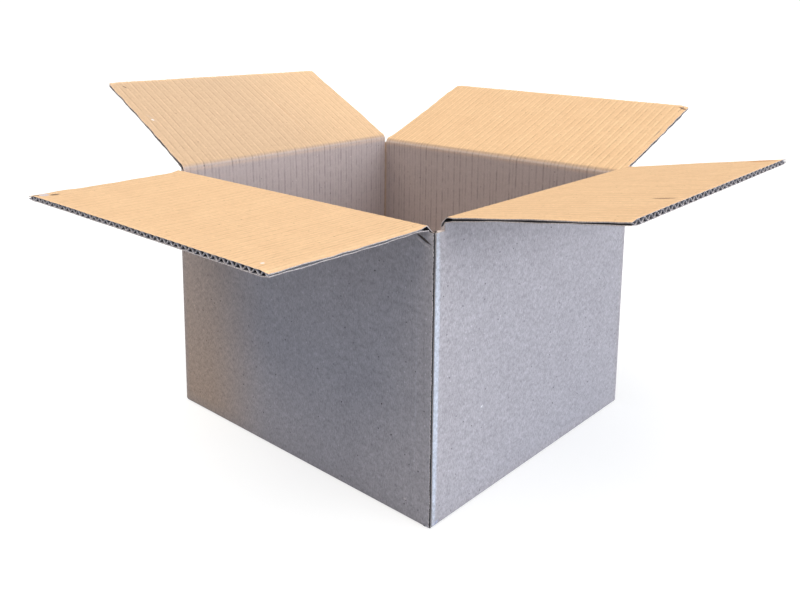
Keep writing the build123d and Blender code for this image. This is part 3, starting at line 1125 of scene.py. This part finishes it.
@dataclass(frozen=True)
class LinerPaper:
    """Recycled liner paper: fibres, cloudy pulp, dark and pale flecks, the flutes showing through as painted
    shade and highlight, and painted shade and warm bounce light.
    """

    name: str
    colour: tuple[float, float, float]
    cloud: tuple[float, float, float]
    # Colour of pressed creases and of painted shade.
    crease_and_shade_colour: tuple[float, float, float]
    # Inside liner: colour of the painted shade on the walls. Outside liner: colour of the painted warm bounce
    # light.
    shade_and_bounce_colour: tuple[float, float, float]
    # How dark the painted shade of the flute lines is; their painted highlight is half as strong.
    line_depth: float
    cloud_amount: float
    fibre_amount: float
    fleck_amount: float
    pitch: float
    marks: tuple[Mark, ...]

    def make(self) -> bpy.types.Material:
        """The material: pulp colours mixed by clouds and by painted shade and bounce light, times fibres,
        painted flute shade and highlights and flecks, then the marks.
        """
        f = Finish(self.name)
        board = f.board_map()
        cloud = f.noise(board, 38.0, 4.0, 0.62)
        pulp = f.noise(board, 210.0, 3.0, 0.6)
        fibre = f.noise(f.stretched(board, 1.0, 0.42), 900.0, 3.0, 0.7)
        grain = f.noise(board, 2600.0, 2.0, 0.6)
        colour = f.mix(f.step(cloud, 0.3, 0.7) * self.cloud_amount, rgba(*self.colour), rgba(*self.cloud))
        # Painted shade on the walls inside the box, and painted warm bounce light on the outside.
        shelter = f.wear_and_light("shelter")
        colour = f.mix(shelter, colour, rgba(*self.shade_and_bounce_colour))
        x = f.node("ShaderNodeSeparateXYZ", {}, {"Vector": board})
        # Flute lines: painted shade along the glue lines and between them, and shine, a painted highlight
        # beside each line. The shade is stronger on the walls inside the box, and the highlight shows only on
        # the flaps.
        wobble = (f.noise(f.stretched(board, 1.0, 0.25), 60.0) - 0.5) * (0.10 * self.pitch)
        phase = (x + wobble) * (2 * math.pi / self.pitch)
        wave = phase.cosine() * 0.5 + 0.5
        line = wave**9.0
        between = (1.0 - wave) ** 11.0
        shine = (phase - 1.0).cosine() * 0.5 + 0.5
        broken = f.step(f.noise(f.stretched(board, 5.0, 2.4), 40.0, 3.0), 0.32, 0.62)
        each = f.step(f.noise(f.stretched(board, 1.0, 0.03), 170.0), 0.38, 0.62)
        line = line * (0.55 + each * 0.5) + between * (1.0 - each) * 0.6
        line = line * (0.15 + broken * 0.85) * (0.8 + shelter * 0.4)
        shine = shine**8.0 * broken * (1.0 - shelter)
        dark = f.flecks(board, 230.0, 0.10, 0.20)
        light = f.flecks(f.stretched(board, 1.0, 0.9), 310.0, 0.09, 0.24)
        crease = f.wear_and_light("crease")
        edge = f.wear_and_light("edge")
        amount = 1.0 + (pulp - 0.5) * (0.5 * self.fibre_amount) + (fibre - 0.5) * self.fibre_amount
        amount = amount + (grain - 0.5) * (0.6 * self.fibre_amount)
        amount = amount - line * self.line_depth + shine * (0.5 * self.line_depth)
        amount = amount - dark * self.fleck_amount + light * (0.6 * self.fleck_amount)
        # Darker where pressed, and painted shade.
        colour = f.mix(crease * 0.8, colour, rgba(*self.crease_and_shade_colour))
        # Paler near cut edges, where fibres show, and in the painted highlight below the folds.
        pale = [min(1.0, c * 1.3) for c in self.colour]
        colour = f.mix((edge * f.step(grain, 0.35, 0.6)) * 0.6, colour, rgba(*pale))
        for mark in self.marks:
            colour = mark.over(f, board, colour, self.pitch)
        colour = f.tone(colour, amount)
        height = fibre * 0.10 + grain * 0.05 + pulp * 0.08 - line * 0.10
        rough = 0.86 + (fibre - 0.5) * 0.15
        return f.finish(colour, height, rough, 0.55)


@dataclass(frozen=True)
class RawPaper:
    """Paper that the cut lays bare: the medium and the edges of the liners."""

    name: str
    colour: tuple[float, float, float]
    shade: tuple[float, float, float]
    scale: float
    # How dark the painted shade inside the flutes gets away from the cut, 1 for none.
    depth: float

    def make(self) -> bpy.types.Material:
        """The material: two shades mixed by fibre noise, with painted shade darkening it away from the cut,
        and a fibrous relief.
        """
        f = Finish(self.name)
        board = f.board_map()
        fibre = f.noise(board, self.scale, 4.0, 0.7)
        fuzz = f.noise(board, self.scale * 3.1, 2.0, 0.6)
        colour = f.mix(f.step(fibre, 0.35, 0.68), rgba(*self.shade), rgba(*self.colour))
        colour = f.tone(colour, 0.9 + (fuzz - 0.5) * 0.4)
        # Painted shade: darker away from the cut edge.
        colour = f.tone(colour, f.wear_and_light("edge") * (1.0 - self.depth) + self.depth)
        return f.finish(colour, fibre * 0.2 + fuzz * 0.1, 0.9 + (fuzz - 0.5) * 0.1, 0.7)


def board_materials(pitch: float) -> list[bpy.types.Material]:
    """One material for each Face, in its order, with flutes that press through a pitch apart."""
    low_fold, high_fold = 221.7, 226.0
    dark = (0.06, 0.045, 0.04)
    brown = (0.17, 0.10, 0.07)
    lilac = (0.50, 0.48, 0.56)
    white = (0.78, 0.78, 0.84)
    outside = LinerPaper(
        name="outside_liner",
        # Lilac grey: partly the outside liner's own grey, partly painted cool side light.
        colour=(0.435, 0.415, 0.46),
        cloud=(0.385, 0.365, 0.405),
        crease_and_shade_colour=(0.41, 0.375, 0.40),
        # Colour of the painted warm bounce light on the front wall.
        shade_and_bounce_colour=(0.475, 0.37, 0.315),
        line_depth=0.0,
        cloud_amount=0.6,
        fibre_amount=1.25,
        fleck_amount=0.6,
        pitch=pitch,
        marks=(
            # A pale bluish band along the rounded near corner: a painted highlight.
            Mark("right", -132.0, 112, 150, 3.8, 90, (0.56, 0.595, 0.70), 0.9, 0.4),
            # Two pressed lines on the front wall, each a dark line with a paler one beside it: the painted
            # shade and highlight of the dent.
            Mark("front", -12, 110, 120, 0.7, 90, (0.33, 0.31, 0.34), 0.30, 0.8),
            Mark("front", -17, 110, 120, 0.8, 90, (0.50, 0.46, 0.48), 0.22, 0.8),
            Mark("front", 131, 110, 108, 0.7, 90, (0.34, 0.33, 0.38), 0.35, 0.8),
            Mark("front", 135, 110, 108, 0.8, 90, (0.52, 0.52, 0.60), 0.25, 0.8),
            Mark("front", 102.9, 83.5, 0.9, 0.8, 0, dark, 0.95, 0.3),
            Mark("right", -78.2, 75.6, 1.6, 0.9, 30, white, 0.9, 0.4),
            Mark("right", -90.1, 64.4, 0.9, 0.7, 0, dark, 0.75, 0.4),
            Mark("front", 126.1, 15.5, 1.8, 0.9, 10, (0.62, 0.58, 0.60), 0.8, 0.4),
            Mark("front", 127.2, 14.2, 0.7, 0.6, 0, dark, 0.85, 0.3),
            Mark("front", 147.6, 1.5, 2.2, 1.4, 0, white, 0.8, 0.5),
            Mark("right", -129.5, 2.5, 4.0, 1.8, 40, (0.34, 0.38, 0.56), 0.6, 0.5),
            # Near the top of the near corner: a painted shadow line with a pale line beneath it, and a darker
            # band just under the fold.
            Mark("front", 140.5, 215.6, 9.0, 1.25, -25, dark, 0.95, 0.3),
            Mark("front", 140.0, 213.0, 8.4, 1.1, -25, (0.62, 0.58, 0.60), 0.8, 0.5),
            Mark("front", 138, 219, 12, 1.5, 0, (0.30, 0.27, 0.28), 0.5, 0.6),
        ),
    )
    inside = LinerPaper(
        name="inside_liner",
        colour=(0.66, 0.465, 0.295),
        cloud=(0.61, 0.42, 0.262),
        crease_and_shade_colour=(0.48, 0.350, 0.248),
        # Painted shade: greyer and darker on the walls inside the box.
        shade_and_bounce_colour=(0.475, 0.405, 0.405),
        line_depth=0.29,
        cloud_amount=0.55,
        fibre_amount=0.38,
        fleck_amount=0.35,
        pitch=pitch,
        marks=(
            Mark("front", -137.0, low_fold + 133.0, 4.5, 7.5, 90, lilac, 0.95, 0.5),
            Mark("front", -131.0, low_fold + 127.0, 4.5, 3.4, 97, dark, 0.8, 0.4),
            Mark("front", -140.0, low_fold + 136.8, 6.0, 1.5, 5, dark, 0.9, 0.4),
            Mark("front", 129.0, low_fold + 131.5, 1.8, 1.6, 60, (0.84, 0.80, 0.82), 0.85, 0.5),
            Mark("left", 119.4, high_fold + 127.5, 3.2, 0.9, 60, dark, 0.85, 0.4),
            Mark("left", 121.5, high_fold + 73, 9.0, 1.5, 75, (0.50, 0.40, 0.33), 0.45, 0.6),
            Mark("left", 122.0, high_fold + 70.5, 2.0, 1.1, 60, white, 0.8, 0.5),
            # A long pressed line on the left flap: a dark line and a pale one beside it, the painted shade and
            # highlight of the dent.
            Mark("left", -32.6, high_fold + 63, 66, 0.8, 88, (0.50, 0.32, 0.19), 0.45, 0.7),
            Mark("left", -30.8, high_fold + 63, 66, 0.8, 88, (0.80, 0.60, 0.42), 0.35, 0.7),
            Mark("back", -27.2, high_fold + 130, 2.4, 1.4, 80, (0.55, 0.42, 0.33), 0.8, 0.5),
            Mark("back", -142.0, low_fold + 131.5, 5.5, 1.8, 15, brown, 0.85, 0.6),
            Mark("right", 122.0, high_fold + 122, 13.0, 9.0, 95, (0.50, 0.27, 0.13), 0.75, 0.6),
            # Painted shade at the far end of the right flap's fold.
            Mark("right", 127.0, high_fold + 10, 12.0, 7.0, 80, (0.42, 0.28, 0.19), 0.6, 0.6),
            Mark("right", -51.6, high_fold + 122, 10.0, 2.4, 87, brown, 0.75, 0.5),
        ),
    )
    cut = RawPaper("cut_edge", (0.70, 0.65, 0.66), (0.42, 0.37, 0.38), 900.0, 1.0)
    # The medium's pale bluish colour is a painted highlight of the cool side light on the cut flutes, and it
    # is painted dark deeper in.
    flute = RawPaper("fluted_medium", (0.86, 0.86, 0.95), (0.62, 0.61, 0.68), 500.0, 0.16)
    return [finish.make() for finish in (outside, inside, cut, flute)]


# ---------------------------------------------------------------- studio


@dataclass(frozen=True)
class Studio:
    """Pale floor, soft lights and the camera."""

    eye: tuple[float, float, float] = (0.4802, -0.534, 0.3595)
    azimuth: float = 42.194
    look_down: float = 15.468
    roll: float = 0.16
    lens: float = 36.65
    shift_y: float = -0.075
    floor_glow: float = 0.74
    seen_white: float = 1.1
    sky_light: float = 0.46

    def floor(self) -> None:
        """A wide pale floor just under the box."""
        mesh = bpy.data.meshes.new("floor")
        half = 40.0
        z = -0.05 * MM
        corners = [(-half, -half, z), (half, -half, z), (half, half, z), (-half, half, z)]
        mesh.from_pydata(corners, [], [(0, 1, 2, 3)])
        floor = bpy.data.objects.new("floor", mesh)
        bpy.context.scene.collection.objects.link(floor)
        f = Finish("pale_floor")
        place = f.node("ShaderNodeTexCoord", {}, {}, "Object")
        colour = f.mix(f.noise(place, 3.0), rgba(0.30, 0.33, 0.37), rgba(0.32, 0.35, 0.39))
        join(f.tree, f.shader.inputs["Base Color"], colour)
        f.shader.inputs["Roughness"].default_value = 0.9
        seen = f.node("ShaderNodeLightPath", {}, {}, "Is Camera Ray")
        glow = f.mix(seen, rgba(0.0, 0.0, 0.0), rgba(1.0, 0.98, 0.96))
        join(f.tree, f.shader.inputs["Emission Color"], glow)
        f.shader.inputs["Emission Strength"].default_value = self.floor_glow
        mesh.materials.append(f.material)

    def lamp(self, name: str, place: tuple, spread: float, power: float, colour: tuple) -> None:
        """A wide, far lamp that faces the box.

        Args:
            name: Its name.
            place: Direction that it shines from.
            spread: Width of its disc in degrees: the wider, the softer its shadows.
            power: Its power.
            colour: Its colour.
        """
        data = bpy.data.lights.new(name, "SUN")
        data.angle = math.radians(spread)
        data.energy = power * math.pi
        data.color = colour
        lamp = bpy.data.objects.new(name, data)
        lamp.location = place
        lamp.rotation_mode = "QUATERNION"
        lamp.rotation_quaternion = (-Vector(place)).to_track_quat("-Z", "Y")
        bpy.context.scene.collection.objects.link(lamp)

    def world(self) -> None:
        """Even pale surroundings, which light the box less brightly than they look."""
        world = bpy.data.worlds.new("studio")
        bpy.context.scene.world = world
        world.use_nodes = True
        tree = world.node_tree
        tree.nodes.clear()
        path = tree.nodes.new("ShaderNodeLightPath")
        shown = tree.nodes.new("ShaderNodeBackground")
        shown.inputs["Color"].default_value = rgba(1.0, 1.0, 1.0)
        shown.inputs["Strength"].default_value = self.seen_white
        light = tree.nodes.new("ShaderNodeBackground")
        light.inputs["Color"].default_value = rgba(0.86, 0.96, 1.10)
        light.inputs["Strength"].default_value = self.sky_light
        both = tree.nodes.new("ShaderNodeMixShader")
        output = tree.nodes.new("ShaderNodeOutputWorld")
        tree.links.new(path.outputs["Is Camera Ray"], both.inputs[0])
        tree.links.new(light.outputs[0], both.inputs[1])
        tree.links.new(shown.outputs[0], both.inputs[2])
        tree.links.new(both.outputs[0], output.inputs[0])

    def camera(self) -> None:
        """The camera, looking down at the near corner."""
        data = bpy.data.cameras.new("camera")
        data.lens = self.lens
        data.shift_y = self.shift_y
        data.clip_start, data.clip_end = 0.01, 200.0
        camera = bpy.data.objects.new("camera", data)
        a, e = math.radians(self.azimuth), math.radians(self.look_down)
        back = Vector((math.sin(a) * math.cos(e), -math.cos(a) * math.cos(e), math.sin(e)))
        camera.location = self.eye
        camera.rotation_mode = "QUATERNION"
        turn = Quaternion((0, 0, 1), math.radians(self.roll))
        camera.rotation_quaternion = (-back).to_track_quat("-Z", "Y") @ turn
        bpy.context.scene.collection.objects.link(camera)
        bpy.context.scene.camera = camera

    def build(self) -> None:
        """Sets up the whole studio."""
        self.floor()
        self.world()
        self.lamp("overhead", (-0.3, -0.42, 2.0), 70.0, 0.955, (1.0, 0.845, 0.62))
        self.lamp("right_side", (2.0, 0.35, 0.05), 60.0, 1.41, (0.92, 0.95, 0.96))
        self.camera()
        bpy.context.scene.view_settings.view_transform = "Standard"


# ---------------------------------------------------------------- the whole box


def box_panels(frame: dict, board: Board) -> list[Panel]:
    """The four panels in the order of the strip: right, back, left, front.

    Args:
        frame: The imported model.
        board: The board.

    Returns:
        The panels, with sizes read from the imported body, hinges and flaps.
    """
    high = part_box(BODY)[1]
    hinges = {joint["child"]: joint for joint in frame["joints"]}
    panels = []
    for number, (name, out) in enumerate(OUTWARD.items()):
        flap_low, flap_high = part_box(f"{name}_flap")
        on_x = out[0] != 0
        span = (flap_low.y, flap_high.y) if on_x else (flap_low.x, flap_high.x)
        sense = out[0] if on_x else -out[1]
        start, stop = sorted((sense * span[0], sense * span[1]))
        panels.append(
            Panel(
                name,
                out,
                high.y if on_x else high.x,
                high.x if on_x else high.y,
                hinges[f"{name}_flap"]["pos_m"][2],
                start,
                stop,
                LAPS[name],
                100 * number + 7,
                RIPPLES[name],
            )
        )
    return panels


def main() -> None:
    """Builds the walls, the bottom, the tab, the flaps and the studio, in that order."""
    logging.basicConfig(level=logging.INFO, format="%(message)s")
    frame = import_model()
    board = Board()
    panels = box_panels(frame, board)
    right, back, left, front = panels
    materials = board_materials(board.pitch)
    slot_bottom = front.fold - 1 * MM
    Walls(panels, board, slot_bottom).build(materials)
    GlueTab("glue_tab", front, board, front.half - 39 * MM, front.half - 4.5 * MM).build(materials)
    for panel, height, slot in ((right, 0.0, 4.6), (left, 0.0, 4.6), (front, 4.0, 5.0), (back, 4.0, 5.0)):
        reach = panel.half - slot * MM
        BottomLeaf(f"{panel.name}_bottom_flap", panel, board, -reach, reach, height * MM).build(materials)
    limits = {joint["child"]: joint["range_deg"][1] for joint in frame["joints"]}
    for panel in panels:
        elevation = math.radians(180 - limits[f"{panel.name}_flap"])
        Flap(panel, board, elevation, FLAP_LENGTH, **FLAP_SHAPES[panel.name]).build(materials)
    Studio().build()


if __name__ == "__main__":
    main()
